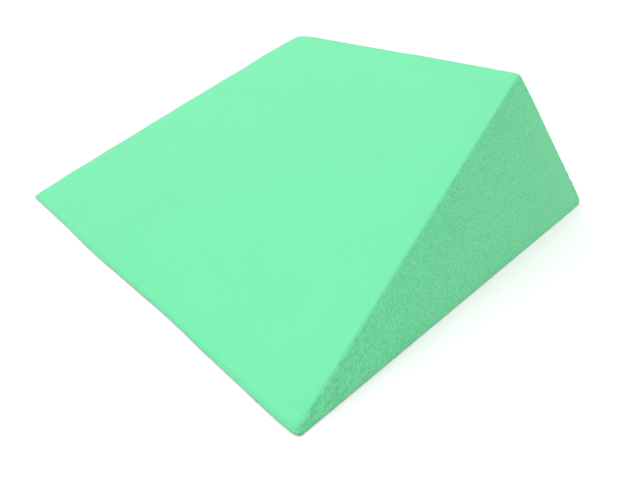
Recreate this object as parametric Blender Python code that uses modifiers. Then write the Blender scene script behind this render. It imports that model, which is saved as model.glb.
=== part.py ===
"""Incline wedge mat: foam slabs glued into a ramp, inside a sewn cover that a zip closes across the back.

X runs across the mat, +Y towards the tall back end and +Z up. The origin is the middle of the base, on the floor.
"""

import math

import bmesh
import bpy
from mathutils import Matrix, Vector

# Outside shape of the covered mat.
BASE_DEPTH = 0.900
BASE_WIDTH = 0.955
BACK_HEIGHT = 0.296
TOE_HEIGHT = 0.0072
WALL_LEAN = math.radians(26.0)

# Cover.
COVER_CLOTH = 0.0010
MESH_GAP = 0.0003

# Foam core.
SIDE_EASE = 0.0020
TOE_EASE = 0.0060
EASED_EDGE = 0.012
EASED_CORNER = 0.024
TOPPER_THICKNESS = 0.030
BASE_SLAB_HEIGHT = 0.100
MIDDLE_SLAB_HEIGHT = 0.090

# Zip, along the back wall.
ZIP_UP_WALL = 0.070
ZIP_END_MARGIN = 0.045
ZIP_SLOT_SIDE_ROOM = 0.0015
TAPE_CLOTH = 0.0007
TAPE_WIDTH = 0.016
TAPE_TAIL = 0.018
COIL_WIDTH = 0.0026
COIL_HEIGHT = 0.0022
COIL_ROUNDING = 0.0006
STOP_LENGTH = 0.0030
STOP_PROUD = 0.0004

# Zip slider and its pull.
RUN_CLEARANCE = 0.0004
NECK_WIDTH = 0.0010
SLIDER_WALL = 0.0012
SLIDER_LENGTH = 0.0130
SLIDER_TAIL_TAPER = 0.0008
SLIDER_NOSE_TAPER = 0.0022
BRIDGE_LENGTH = 0.0086
BRIDGE_WIDTH = 0.0020
BRIDGE_BAR = 0.0013
PULL_THICKNESS = 0.0012
PULL_BAR_WIDTH = 0.0016
PULL_REACH = 0.034
PULL_RING_WIDTH = 0.0068
PULL_TIP_WIDTH = 0.0090
PULL_EYE_RADIUS = 0.0021
METAL_EDGE = 0.00018

# Seats that follow from the sizes above. Depths are along the back wall's outward normal, zero at its cloth.
SEAM_STEP = COVER_CLOTH + MESH_GAP
TAPE_TOP = -SEAM_STEP
TAPE_BOTTOM = TAPE_TOP - TAPE_CLOTH
COIL_FOOT = TAPE_TOP + MESH_GAP
COIL_TOP = COIL_FOOT + COIL_HEIGHT
COIL_GAP = NECK_WIDTH + 2 * RUN_CLEARANCE
COIL_EDGE = COIL_GAP / 2 + COIL_WIDTH
SLIDER_CEILING = COIL_TOP + RUN_CLEARANCE
SLIDER_TOP = SLIDER_CEILING + SLIDER_WALL
SLIDER_FLOOR = TAPE_BOTTOM - RUN_CLEARANCE
SLIDER_BOTTOM = SLIDER_FLOOR - SLIDER_WALL
SLIDER_HALF_WIDTH = COIL_EDGE + RUN_CLEARANCE + SLIDER_WALL
ZIP_SLOT_HALF = SLIDER_HALF_WIDTH + ZIP_SLOT_SIDE_ROOM
BACK_EASE = RUN_CLEARANCE - SLIDER_BOTTOM
ZIP_HALF_LENGTH = BASE_WIDTH / 2 - ZIP_UP_WALL * math.sin(WALL_LEAN) - ZIP_END_MARGIN
SLIDER_PARKED_X = ZIP_HALF_LENGTH - SLIDER_LENGTH / 2
BRIDGE_WINDOW = math.hypot(PULL_BAR_WIDTH, PULL_THICKNESS) + 2 * RUN_CLEARANCE
PULL_AXIS = SLIDER_TOP + BRIDGE_WINDOW / 2

MINT = (0.170, 0.760, 0.400)
CREAM_FOAM = (0.820, 0.780, 0.620)
WHITE_FOAM = (0.860, 0.870, 0.850)
ZIP_GREEN = (0.140, 0.620, 0.330)
NICKEL = (0.560, 0.570, 0.560)


def clear_scene():
    for obj in list(bpy.data.objects):
        bpy.data.objects.remove(obj, do_unlink=True)


def new_collection(name):
    collection = bpy.data.collections.new(name)
    bpy.context.scene.collection.children.link(collection)
    return collection


def new_material(name, colour, roughness, metallic=0.0):
    material = bpy.data.materials.new(name)
    material.use_nodes = True
    shader = material.node_tree.nodes["Principled BSDF"]
    shader.inputs["Base Color"].default_value = (*colour, 1.0)
    shader.inputs["Roughness"].default_value = roughness
    shader.inputs["Metallic"].default_value = metallic
    material.diffuse_color = (*colour, 1.0)
    return material


class Plane:
    """A flat cut that keeps the points p with normal . p <= reach."""

    def __init__(self, normal, reach):
        self.normal = Vector(normal).normalized()
        self.reach = reach

    def inset(self, depth):
        """The same plane moved towards the side that it keeps."""
        return Plane(self.normal, self.reach - depth)

    def flipped(self):
        """The same plane, keeping the other side."""
        return Plane(-self.normal, -self.reach)


def easing(planes, depth):
    """A plane that takes this depth off the edge or the corner where these planes meet."""
    total = sum((plane.normal for plane in planes), Vector())
    return Plane(total, sum(plane.reach for plane in planes) / total.length - depth)


def outer_planes():
    """The six flat faces of the covered mat, by name."""
    lean_sine, lean_cosine = math.sin(WALL_LEAN), math.cos(WALL_LEAN)
    top_edge_y = BASE_DEPTH / 2 - BACK_HEIGHT * math.tan(WALL_LEAN)
    slope = Vector((0, TOE_HEIGHT - BACK_HEIGHT, top_edge_y + BASE_DEPTH / 2)).normalized()
    toe_top = Vector((0, -BASE_DEPTH / 2, TOE_HEIGHT))
    return {
        "floor": Plane((0, 0, -1), 0),
        "toe": Plane((0, -1, 0), BASE_DEPTH / 2),
        "slope": Plane(slope, slope.dot(toe_top)),
        "back": Plane((0, lean_cosine, lean_sine), BASE_DEPTH / 2 * lean_cosine),
        "left": Plane((-lean_cosine, 0, lean_sine), BASE_WIDTH / 2 * lean_cosine),
        "right": Plane((lean_cosine, 0, lean_sine), BASE_WIDTH / 2 * lean_cosine),
    }


def up_back_wall(distance):
    """The plane square to the back wall that keeps what is below this distance up the wall."""
    up = Vector((0, -math.sin(WALL_LEAN), math.cos(WALL_LEAN)))
    return Plane(up, up.y * BASE_DEPTH / 2 + distance)


def new_object(name, mesh, material, collection, parent=None):
    obj = bpy.data.objects.new(name, mesh)
    mesh.materials.clear()
    if material:
        mesh.materials.append(material)
    collection.objects.link(obj)
    obj.parent = parent
    return obj


def cut_block(name, planes, material, collection):
    """A convex solid: a cube larger than the mat, cut down by each plane in turn."""
    shape = bmesh.new()
    bmesh.ops.create_cube(shape, size=4 * max(BASE_DEPTH, BASE_WIDTH))
    for plane in planes:
        bmesh.ops.bisect_plane(
            shape,
            geom=shape.verts[:] + shape.edges[:] + shape.faces[:],
            plane_co=plane.normal * plane.reach,
            plane_no=plane.normal,
            clear_outer=True,
        )
        open_edges = [edge for edge in shape.edges if edge.is_boundary]
        bmesh.ops.holes_fill(shape, edges=open_edges)
    bmesh.ops.recalc_face_normals(shape, faces=shape.faces)
    mesh = bpy.data.meshes.new(name)
    shape.to_mesh(mesh)
    shape.free()
    return new_object(name, mesh, material, collection)


def box(name, low, high, material, collection, parent):
    """A box between two corners, given in its parent's axes."""
    low, high = Vector(low), Vector(high)
    shape = bmesh.new()
    size = Matrix.Diagonal((*(high - low), 1))
    bmesh.ops.create_cube(shape, size=1, matrix=size)
    mesh = bpy.data.meshes.new(name)
    shape.to_mesh(mesh)
    shape.free()
    obj = new_object(name, mesh, material, collection, parent)
    obj.location = (low + high) / 2
    return obj


def outline_solid(name, outlines, thickness, turn, material, collection, parent):
    """A flat outline, with the outlines of its holes after it, made this thick and turned by a matrix."""
    curve = bpy.data.curves.new(name, "CURVE")
    curve.dimensions = "2D"
    curve.fill_mode = "BOTH"
    curve.extrude = thickness / 2
    for outline in outlines:
        spline = curve.splines.new("POLY")
        spline.points.add(len(outline) - 1)
        spline.use_cyclic_u = True
        for point, (across, along) in zip(spline.points, outline):
            point.co = (across, along, 0, 1)
    guide = bpy.data.objects.new(name + "_outline", curve)
    collection.objects.link(guide)
    mesh = bpy.data.meshes.new_from_object(guide.evaluated_get(bpy.context.evaluated_depsgraph_get()))
    bpy.data.objects.remove(guide, do_unlink=True)
    bpy.data.curves.remove(curve)
    shape = bmesh.new()
    shape.from_mesh(mesh)
    bmesh.ops.remove_doubles(shape, verts=shape.verts, dist=1e-6)
    bmesh.ops.transform(shape, matrix=turn, verts=shape.verts)
    bmesh.ops.recalc_face_normals(shape, faces=shape.faces)
    shape.to_mesh(mesh)
    shape.free()
    return new_object(name, mesh, material, collection, parent)


def combine(obj, other, operation):
    """Adds a Boolean against a helper, which stays out of the render."""
    other.hide_render = True
    other.display_type = "WIRE"
    modifier = obj.modifiers.new(operation.title(), "BOOLEAN")
    modifier.operation = operation
    modifier.solver = "EXACT"
    modifier.object = other


def round_edges(obj, width, segments):
    modifier = obj.modifiers.new("Bevel", "BEVEL")
    modifier.width = width
    modifier.segments = segments
    modifier.limit_method = "ANGLE"
    modifier.angle_limit = math.radians(40)


def arc(centre, radius, start, end, steps=8):
    """Points round part of a circle, the angles in degrees."""
    angles = [math.radians(start + (end - start) * step / steps) for step in range(steps + 1)]
    return [(centre[0] + radius * math.cos(a), centre[1] + radius * math.sin(a)) for a in angles]


def build_incline_panel(face, collection, cutters):
    """The cloth of the slope, which folds over the toe and ends at the base seam."""
    seam = face["floor"].inset(SEAM_STEP)
    rim = [face[name] for name in ("toe", "slope", "back", "left", "right")]
    cloth = new_material("mint_cover_top", MINT, 0.62)
    panel = cut_block("incline_panel", [seam, *rim], cloth, collection)
    hollow_faces = [face["slope"].inset(COVER_CLOTH), face["toe"].inset(COVER_CLOTH)]
    hollow = cut_block("incline_panel_inside", hollow_faces, None, cutters)
    combine(panel, hollow, "DIFFERENCE")


def build_base_panel(face, collection):
    cloth = new_material("mint_cover_base", MINT, 0.80)
    inner = face["floor"].inset(COVER_CLOTH).flipped()
    rim = [face[name] for name in ("floor", "toe", "back", "left", "right")]
    cut_block("base_panel", [inner, *rim], cloth, collection)


def build_side_panels(face, collection):
    ends = [face[name].inset(SEAM_STEP) for name in ("floor", "toe", "slope", "back")]
    for side in ("left", "right"):
        cloth = new_material(f"mint_cover_{side}", MINT, 0.70)
        skin = [face[side], face[side].inset(COVER_CLOTH).flipped()]
        cut_block(f"{side}_side_panel", skin + ends, cloth, collection)


def build_back_panels(face, collection):
    """Two cloth strips with the zip between them, and the tabs that close the gap past the zip's ends."""
    skin = [face["back"], face["back"].inset(COVER_CLOTH).flipped()]
    top_and_foot = [face["slope"].inset(SEAM_STEP), face["floor"].inset(SEAM_STEP)]
    wall = skin + top_and_foot + [face["left"], face["right"]]
    slot_foot = up_back_wall(ZIP_UP_WALL - ZIP_SLOT_HALF)
    slot_head = up_back_wall(ZIP_UP_WALL + ZIP_SLOT_HALF)
    tab_start = ZIP_HALF_LENGTH + STOP_LENGTH + 2 * MESH_GAP
    tab_edges = [slot_foot.flipped().inset(MESH_GAP), slot_head.inset(MESH_GAP)]
    pieces = {
        "back_panel_lower": [slot_foot],
        "back_panel_upper": [slot_head.flipped()],
        "zip_end_tab_left": [*tab_edges, Plane((1, 0, 0), -tab_start)],
        "zip_end_tab_right": [*tab_edges, Plane((-1, 0, 0), -tab_start)],
    }
    for name, edges in pieces.items():
        cloth = new_material(f"mint_cover_{name}", MINT, 0.70)
        cut_block(name, wall + edges, cloth, collection)


def core_planes(face):
    """The foam block as glued up: the room inside the cover, with its edges and upper corners eased."""
    room = {
        "floor": face["floor"].inset(SEAM_STEP),
        "toe": face["toe"].inset(SEAM_STEP + TOE_EASE),
        "slope": face["slope"].inset(SEAM_STEP),
        "back": face["back"].inset(BACK_EASE),
        "left": face["left"].inset(SEAM_STEP + SIDE_EASE),
        "right": face["right"].inset(SEAM_STEP + SIDE_EASE),
    }
    planes = list(room.values())
    edges = (("slope", "back"), ("slope", "left"), ("slope", "right"), ("left", "back"), ("right", "back"))
    planes += [easing([room[name] for name in edge], EASED_EDGE) for edge in edges]
    corners = (("slope", "back", "left"), ("slope", "back", "right"))
    return planes + [easing([room[name] for name in corner], EASED_CORNER) for corner in corners]


def build_foam(face, collection):
    """Three firm slabs, one on another, under a soft topper that follows the slope."""
    core = core_planes(face)
    topper_foot = face["slope"].inset(SEAM_STEP + TOPPER_THICKNESS)
    soft = new_material("soft_white_foam", WHITE_FOAM, 0.90)
    cut_block("soft_foam_topper", core + [topper_foot.flipped()], soft, collection)
    ramp = core + [topper_foot.inset(MESH_GAP)]
    base_top = SEAM_STEP + BASE_SLAB_HEIGHT
    middle_top = base_top + MIDDLE_SLAB_HEIGHT
    slabs = (
        ("firm_foam_base", [Plane((0, 0, 1), base_top)]),
        ("firm_foam_middle", [Plane((0, 0, -1), -base_top - MESH_GAP), Plane((0, 0, 1), middle_top)]),
        ("firm_foam_upper", [Plane((0, 0, -1), -middle_top - MESH_GAP)]),
    )
    for name, glue_faces in slabs:
        firm = new_material(f"{name}_cream", CREAM_FOAM, 0.92)
        cut_block(name, ramp + glue_faces, firm, collection)


def build_zip_half(half, sign, wall, collection):
    """One tape under the cloth, with the coil along its inner edge and the stop past the coil's closed end."""
    inner, coil_edge = sign * COIL_GAP / 2, sign * COIL_EDGE
    tape_edge = sign * (COIL_GAP / 2 + TAPE_WIDTH)
    stop_start = ZIP_HALF_LENGTH + MESH_GAP
    stop_end = stop_start + STOP_LENGTH
    tape_end = stop_end + TAPE_TAIL

    def bar(name, along, depth, edge, finish):
        """A bar from the tape's inner edge out to another edge, between two depths."""
        low = (along[0], depth[0], ZIP_UP_WALL + min(inner, edge))
        high = (along[1], depth[1], ZIP_UP_WALL + max(inner, edge))
        return box(f"{name}_{half}", low, high, finish, collection, wall)

    woven = new_material(f"zip_tape_{half}_green", ZIP_GREEN, 0.75)
    bar("zip_tape", (-tape_end, tape_end), (TAPE_BOTTOM, TAPE_TOP), tape_edge, woven)
    nylon = new_material(f"zip_coil_{half}_green", ZIP_GREEN, 0.40)
    coil = bar("zip_coil", (-ZIP_HALF_LENGTH, ZIP_HALF_LENGTH), (COIL_FOOT, COIL_TOP), coil_edge, nylon)
    round_edges(coil, COIL_ROUNDING, 2)
    nickel = new_material(f"zip_top_stop_{half}_nickel", NICKEL, 0.35, 1.0)
    stop = bar("zip_top_stop", (stop_start, stop_end), (COIL_FOOT, COIL_TOP + STOP_PROUD), coil_edge, nickel)
    round_edges(stop, STOP_PROUD, 2)


def build_zip_chain(wall, collection):
    """The zip's two halves, and the one stop that holds them together at the opening end."""
    for half, sign in (("upper", 1), ("lower", -1)):
        build_zip_half(half, sign, wall, collection)
    nickel = new_material("zip_bottom_stop_nickel", NICKEL, 0.35, 1.0)
    stop_end = -ZIP_HALF_LENGTH - MESH_GAP
    low = (stop_end - STOP_LENGTH, COIL_FOOT, ZIP_UP_WALL - COIL_EDGE)
    high = (stop_end, COIL_TOP + STOP_PROUD, ZIP_UP_WALL + COIL_EDGE)
    stop = box("zip_bottom_stop", low, high, nickel, collection, wall)
    round_edges(stop, STOP_PROUD, 2)


def slider_section():
    """The slider cut across the zip: two plates on a neck, the outer one with flanges down to the tape."""
    outer, neck, flange = SLIDER_HALF_WIDTH, NECK_WIDTH / 2, TAPE_TOP + RUN_CLEARANCE
    inner = outer - SLIDER_WALL
    half = [
        (outer, SLIDER_BOTTOM),
        (outer, SLIDER_FLOOR),
        (neck, SLIDER_FLOOR),
        (neck, SLIDER_CEILING),
        (inner, SLIDER_CEILING),
        (inner, flange),
        (outer, flange),
        (outer, SLIDER_TOP),
    ]
    return half + [(-across, depth) for across, depth in reversed(half)]


def slider_plan():
    """The slider seen from outside: broad shoulders at the closing end and a slimmer tail."""
    end, side = SLIDER_LENGTH / 2, SLIDER_HALF_WIDTH
    half = [
        (-end, side - SLIDER_TAIL_TAPER),
        (end - SLIDER_NOSE_TAPER, side),
        (end, side - SLIDER_NOSE_TAPER),
    ]
    return half + [(along, -across) for along, across in reversed(half)]


def bridge_side():
    """The bent bar that holds the pull, seen from beside the zip, with its feet sunk in the outer plate."""
    foot, bend = SLIDER_TOP - SLIDER_WALL / 3, BRIDGE_WINDOW / 3
    half, bend_depth = BRIDGE_LENGTH / 2, SLIDER_TOP + BRIDGE_WINDOW - bend
    bend_along = half - BRIDGE_BAR - bend
    sides = ((bend_along, 0, 90), (-bend_along, 90, 180))
    outside = [point for along, *turn in sides for point in arc((along, bend_depth), bend + BRIDGE_BAR, *turn)]
    window = [point for along, *turn in sides for point in arc((along, bend_depth), bend, *turn)]
    leg = half - BRIDGE_BAR
    return [(half, foot), *outside, (-half, foot), (-leg, foot), *reversed(window), (leg, foot)]


def build_zip_slider(wall, collection, cutters):
    """The slider: section and plan outlines crossed with each other, with the bridge joined on."""
    nickel = new_material("zip_slider_nickel", NICKEL, 0.30, 1.0)
    across_to_up = Matrix(((0, 0, 1, 0), (0, 1, 0, 0), (1, 0, 0, 0), (0, 0, 0, 1)))
    along_and_up = Matrix(((1, 0, 0, 0), (0, 0, -1, 0), (0, 1, 0, 0), (0, 0, 0, 1)))
    place = (SLIDER_PARKED_X, 0, ZIP_UP_WALL)
    slider = outline_solid(
        "zip_slider", [slider_section()], SLIDER_LENGTH + 2 * SLIDER_WALL, across_to_up, nickel, collection, wall
    )
    plan = outline_solid(
        "zip_slider_plan", [slider_plan()], 6 * SLIDER_TOP, along_and_up, None, cutters, wall
    )
    bridge = outline_solid(
        "zip_slider_bridge", [bridge_side()], BRIDGE_WIDTH, Matrix(), None, cutters, wall
    )
    combine(slider, plan, "INTERSECT")
    combine(slider, bridge, "UNION")
    for obj in (slider, plan, bridge):
        obj.location = place
    round_edges(slider, METAL_EDGE, 2)


def build_zip_pull(wall, collection):
    """A flat tab whose ring hooks under the bridge. Its origin is the line that it swings about."""
    bar_end = -PULL_BAR_WIDTH / 2
    window_end = math.hypot(BRIDGE_LENGTH / 2, BRIDGE_WINDOW / 2 + BRIDGE_BAR) + RUN_CLEARANCE
    ring, tip = PULL_RING_WIDTH / 2, PULL_TIP_WIDTH / 2
    corner = RUN_CLEARANCE
    tab = [
        (bar_end, -ring + corner),
        (bar_end + corner, -ring),
        (window_end, -ring),
        *arc((PULL_REACH - tip, 0), tip, -90, 90, steps=16),
        (window_end, ring),
        (bar_end + corner, ring),
        (bar_end, ring - corner),
    ]
    window_half = BRIDGE_WIDTH / 2 + RUN_CLEARANCE
    bar_side = -bar_end
    window = [
        (bar_side, window_half),
        (window_end, window_half),
        (window_end, -window_half),
        (bar_side, -window_half),
    ]
    eye = arc((PULL_REACH - tip, 0), PULL_EYE_RADIUS, 345, 0, steps=23)
    nickel = new_material("zip_pull_nickel", NICKEL, 0.30, 1.0)
    lay_flat = Matrix(((1, 0, 0, 0), (0, 0, -1, 0), (0, 1, 0, 0), (0, 0, 0, 1)))
    pull = outline_solid("zip_pull", [tab, window, eye], PULL_THICKNESS, lay_flat, nickel, collection, wall)
    pull.location = (SLIDER_PARKED_X, PULL_AXIS, ZIP_UP_WALL)
    round_edges(pull, METAL_EDGE, 2)


def build_mat():
    clear_scene()
    parts = new_collection("incline_wedge_mat")
    cutters = new_collection("cutters")
    face = outer_planes()
    build_foam(face, parts)
    build_base_panel(face, parts)
    build_side_panels(face, parts)
    build_incline_panel(face, parts, cutters)
    build_back_panels(face, parts)
    wall = bpy.data.objects.new("back_wall_axes", None)
    parts.objects.link(wall)
    wall.location = (0, BASE_DEPTH / 2, 0)
    wall.rotation_euler = (WALL_LEAN, 0, 0)
    build_zip_chain(wall, parts)
    build_zip_slider(wall, parts, cutters)
    build_zip_pull(wall, parts)


build_mat()
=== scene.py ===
"""Looks of an incline wedge mat: foam blocks in a fitted, zipped cover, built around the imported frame.

Every length is in metres. The mat rests on its base, with its toe towards -Y and its back towards +Y.
"""

from __future__ import annotations

import logging
import math
import sys
from abc import ABC, abstractmethod
from collections.abc import Callable, Mapping, Sequence
from dataclasses import dataclass, field
from enum import Enum
from functools import cache
from itertools import combinations

import bmesh
import bpy
import numpy as np
from mathutils import Matrix, Vector
from mathutils.geometry import convex_hull_2d


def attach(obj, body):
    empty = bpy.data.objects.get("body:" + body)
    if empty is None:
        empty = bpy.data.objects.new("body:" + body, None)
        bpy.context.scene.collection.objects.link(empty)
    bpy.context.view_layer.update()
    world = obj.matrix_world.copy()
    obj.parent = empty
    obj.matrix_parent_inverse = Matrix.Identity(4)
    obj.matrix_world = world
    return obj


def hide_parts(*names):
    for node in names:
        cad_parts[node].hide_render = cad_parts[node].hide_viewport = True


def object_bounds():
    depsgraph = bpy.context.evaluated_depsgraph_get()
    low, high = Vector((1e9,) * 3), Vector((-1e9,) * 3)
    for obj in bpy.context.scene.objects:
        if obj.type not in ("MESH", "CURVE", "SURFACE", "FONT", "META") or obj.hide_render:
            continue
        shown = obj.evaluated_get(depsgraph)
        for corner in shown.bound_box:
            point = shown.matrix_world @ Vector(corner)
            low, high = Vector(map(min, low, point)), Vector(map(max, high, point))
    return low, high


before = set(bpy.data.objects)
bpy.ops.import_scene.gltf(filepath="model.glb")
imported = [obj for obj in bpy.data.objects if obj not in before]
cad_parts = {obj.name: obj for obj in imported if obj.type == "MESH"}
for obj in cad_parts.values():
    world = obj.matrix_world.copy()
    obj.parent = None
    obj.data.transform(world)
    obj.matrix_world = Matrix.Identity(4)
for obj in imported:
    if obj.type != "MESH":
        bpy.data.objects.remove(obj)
CAD_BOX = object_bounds()
NODES: dict[str, bpy.types.Object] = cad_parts
LOG = logging.getLogger("wedge_mat")

Array = np.ndarray
Piece = bpy.types.Object
Colour = tuple[float, float, float]
ALONG = np.array([1.0, 0.0, 0.0])


# ---- shader tools


def maths(operation: str, swapped: bool = False) -> Callable[..., Value]:
    """A method of Value that adds one Math node, with its terms swapped for a reflected operator."""

    def method(self: Value, *others: Value | float) -> Value:
        """The node's result."""
        terms = (*others, self) if swapped else (self, *others)
        return self.bench.node("ShaderNodeMath", dict(enumerate(terms)), operation=operation)["Value"]

    return method


class Value:
    """A socket that can be used in arithmetic. Each operation adds one Math node."""

    __add__ = __radd__ = maths("ADD")
    __sub__ = maths("SUBTRACT")
    __rsub__ = maths("SUBTRACT", swapped=True)
    __mul__ = __rmul__ = maths("MULTIPLY")
    __pow__ = maths("POWER")
    sine = maths("SINE")
    size = maths("ABSOLUTE")
    at_least = maths("MAXIMUM")
    at_most = maths("MINIMUM")

    def __init__(self, bench: Bench, socket: bpy.types.NodeSocket) -> None:
        """Keeps the socket and the bench that its nodes stand on."""
        self.bench = bench
        self.socket = socket

    def clamped(self) -> Value:
        """Value held from 0 to 1."""
        return self.at_least(0.0).at_most(1.0)


class Bench:
    """A material under construction, whose nodes all come from one method."""

    def __init__(self, name: str) -> None:
        """Starts a material with a Principled shader, and reads the place on the piece."""
        self.material = bpy.data.materials.new(name)
        self.material.use_nodes = True
        self.tree = self.material.node_tree
        self.tree.nodes.clear()
        self.shader = self.tree.nodes.new("ShaderNodeBsdfPrincipled")
        output = self.tree.nodes.new("ShaderNodeOutputMaterial")
        self.tree.links.new(self.shader.outputs["BSDF"], output.inputs["Surface"])
        self.place = self.node("ShaderNodeTexCoord", {})["Object"]

    def _fill(self, socket: bpy.types.NodeSocket, given: object) -> None:
        """Links a value or puts a constant into a socket."""
        if isinstance(given, Value):
            self.tree.links.new(given.socket, socket)
        else:
            socket.default_value = given

    def node(self, kind: str, inputs: Mapping[str | int, object], **settings: object) -> dict[str, Value]:
        """Adds a node, sets it up, and feeds it.

        Args:
            kind: Blender's type name of the node.
            inputs: Values or links by socket name or number.
            settings: Its properties, set before anything else.

        Returns:
            Its enabled outputs by name.
        """
        made = self.tree.nodes.new(kind)
        for name, setting in settings.items():
            setattr(made, name, setting)
        for name, given in inputs.items():
            fitting = (s for i, s in enumerate(made.inputs) if name in (i, s.name) and s.enabled)
            self._fill(next(fitting), given)
        return {socket.name: Value(self, socket) for socket in made.outputs if socket.enabled}

    def axes(self, vector: Value) -> tuple[Value, Value, Value]:
        """The three numbers of a vector."""
        return tuple(self.node("ShaderNodeSeparateXYZ", {"Vector": vector}).values())

    def turned(self, vector: Value, tilt: float = 0.0, scale: Sequence[float] = (1, 1, 1)) -> Value:
        """A vector turned about X by an angle in radians, and stretched."""
        inputs = {"Vector": vector, "Rotation": (tilt, 0.0, 0.0), "Scale": scale}
        return self.node("ShaderNodeMapping", inputs)["Vector"]

    def noise(self, size: float, detail: float, rough: float, at: Value | None = None) -> Value:
        """Soft noise from 0 to 1 whose lumps are about this many metres across."""
        inputs = {"Vector": at or self.place, "Scale": 1 / size, "Detail": detail, "Roughness": rough}
        return self.node("ShaderNodeTexNoise", inputs, noise_dimensions="3D")["Fac"]

    def cells(self, size: float, smoothness: float) -> Value:
        """Distance from the middle of rounded cells that are about this many metres across."""
        inputs = {"Vector": self.place, "Scale": 1 / size, "Smoothness": smoothness, "Randomness": 0.9}
        return self.node("ShaderNodeTexVoronoi", inputs, feature="SMOOTH_F1")["Distance"]

    def mixed(self, amount: Value, low: Colour, high: Colour) -> Value:
        """A colour between two colours."""
        inputs = {"Factor": amount, "A": (*low, 1.0), "B": (*high, 1.0)}
        return self.node("ShaderNodeMix", inputs, data_type="RGBA", clamp_factor=True)["Result"]

    def bump(self, height: Value, deep: float) -> Value:
        """A normal bent by a height, of which 1 stands for this many metres."""
        return self.node("ShaderNodeBump", {"Strength": 1.0, "Distance": deep, "Height": height})["Normal"]

    def finish(self, inputs: Mapping[str, object]) -> bpy.types.Material:
        """Feeds the shader and hands the material over."""
        for name, given in inputs.items():
            self._fill(self.shader.inputs[name], given)
        return self.material


# ---- finishes


def lighter(colour: Colour, by: float) -> Colour:
    """A colour made lighter, or darker with a number under 1."""
    return tuple(min(1.0, part * by) for part in colour)


@dataclass(frozen=True)
class Finish(ABC):
    """What a piece is finished in."""

    name: str
    colour: Colour

    @abstractmethod
    def sockets(self, bench: Bench) -> dict[str, object]:
        """Lays out the finish on a bench.

        Args:
            bench: The bench that its nodes stand on.

        Returns:
            What feeds each socket of the shader.
        """

    @cache
    def material(self) -> bpy.types.Material:
        """The finish as a material, which is made once."""
        bench = Bench(self.name)
        return bench.finish(self.sockets(bench))

    def dress(self, piece: Piece) -> None:
        """Puts the finish on a piece, or on a CAD node by its slots."""
        if not piece.material_slots:
            piece.data.materials.append(self.material())
        for slot in piece.material_slots:
            slot.material = self.material()


@dataclass(frozen=True)
class GrainedCloth(Finish):
    """Soft-touch coated cloth: pebbled grain over a tight knit, with a faint dusting of wear.

    The cloth that is stretched hardest is the smoothest, so the incline's grain is lower than the walls'.
    """

    grain_height: float
    painted_glint: float
    gloss: float = 0.0
    drag: float = 0.0
    drag_tilt: float = 0.0
    drag_from: float = 0.0
    drag_length: float = 0.21
    pebble: float = 0.0042
    crumb: float = 0.0030
    knit: float = 0.00095

    def sockets(self, bench: Bench) -> dict[str, object]:
        """Height is pebbles + crumbs + knit; colour drifts slowly, and a painted highlight makes it paler on
        the grain's tops.

        Drag lines are noise stretched five times along the incline, and fade away behind the thin end. They
        bend the normal, and their light and shade is also painted into the colour.
        """
        pebbles = bench.noise(self.pebble, 1.4, 0.5)
        crumbs = 1.0 - bench.cells(self.crumb, 0.7)
        height = pebbles * 0.90 + crumbs * 0.055 + bench.cells(self.knit, 0.4) * 0.008
        rub = bench.noise(0.045, 4.0, 0.65)
        # painted highlight: this term follows the pebbles' height, so the colour is paler on the grain's
        # tops
        grain = (pebbles - 0.5) * (2.4 * self.painted_glint)
        shade = bench.noise(0.16, 3.0, 0.6) * 0.5 + grain + (rub - 0.5) * 0.25 + 0.25
        if self.drag:
            _, back, _ = bench.axes(bench.place)
            stretched = bench.turned(bench.turned(bench.place, -self.drag_tilt), 0.0, (1.0, 0.2, 1.0))
            fade = (1.0 - (back - self.drag_from) * (1 / self.drag_length)).clamped()
            lines = (bench.noise(0.0050, 1.2, 0.5, stretched) - 0.5) * fade
            height = height + lines * self.drag
            # painted light and shade of the drag lines, laid into the colour over their bump
            shade = shade + lines * (2.6 * self.drag)
        # painted highlight: the paler, whiter colour that the grain's tops mix towards, standing in for
        # glints of light
        painted_glint_colour = tuple(part * 1.055 + 0.030 * self.painted_glint for part in self.colour)
        return {
            "Base Color": bench.mixed(shade.clamped(), lighter(self.colour, 0.94), painted_glint_colour),
            "Roughness": 0.66 - self.gloss + 0.16 * rub - 0.12 * crumbs,
            "Sheen Weight": 0.08,
            "Sheen Roughness": 0.5,
            "Specular IOR Level": 0.35,
            "Normal": bench.bump(height, self.grain_height),
        }


@dataclass(frozen=True)
class GripCloth(Finish):
    """Non-slip base cloth: a close basket weave with rows of small raised grip dots."""

    yarn: float = 0.0016
    dot_pitch: float = 0.0065
    dot_height: float = 0.0006

    def sockets(self, bench: Bench) -> dict[str, object]:
        """Weave is |sin x| and |sin y| ridges in turn; dots are the tops of a round sine product."""
        x, y, _ = bench.axes(bench.place)
        turn, dot_turn = math.pi / self.yarn, math.pi / self.dot_pitch
        warp, weft = (x * turn).sine(), (y * turn).sine()
        over = warp * weft
        warp_ridge, weft_ridge = warp.size() * 0.5 + 0.5, weft.size() * 0.5 + 0.5
        weave = warp_ridge * (0.5 + over * 0.5) + weft_ridge * (0.5 - over * 0.5)
        dots = (((x + y) * dot_turn).sine() * ((x - y) * dot_turn).sine()).size() ** 6.0
        drift = bench.noise(0.12, 4.0, 0.6)
        # painted shade: the colour is lighter on the raised yarns of the weave and darker in the grooves
        shade = (weave * 0.45 + drift * 0.55 - dots * 0.25).clamped()
        return {
            "Base Color": bench.mixed(shade, lighter(self.colour, 0.80), lighter(self.colour, 1.08)),
            "Roughness": 0.88 - dots * 0.30 - drift * 0.08,
            "Specular IOR Level": 0.25,
            "Normal": bench.bump(weave * 0.35 + dots * 0.65, self.dot_height),
        }


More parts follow.
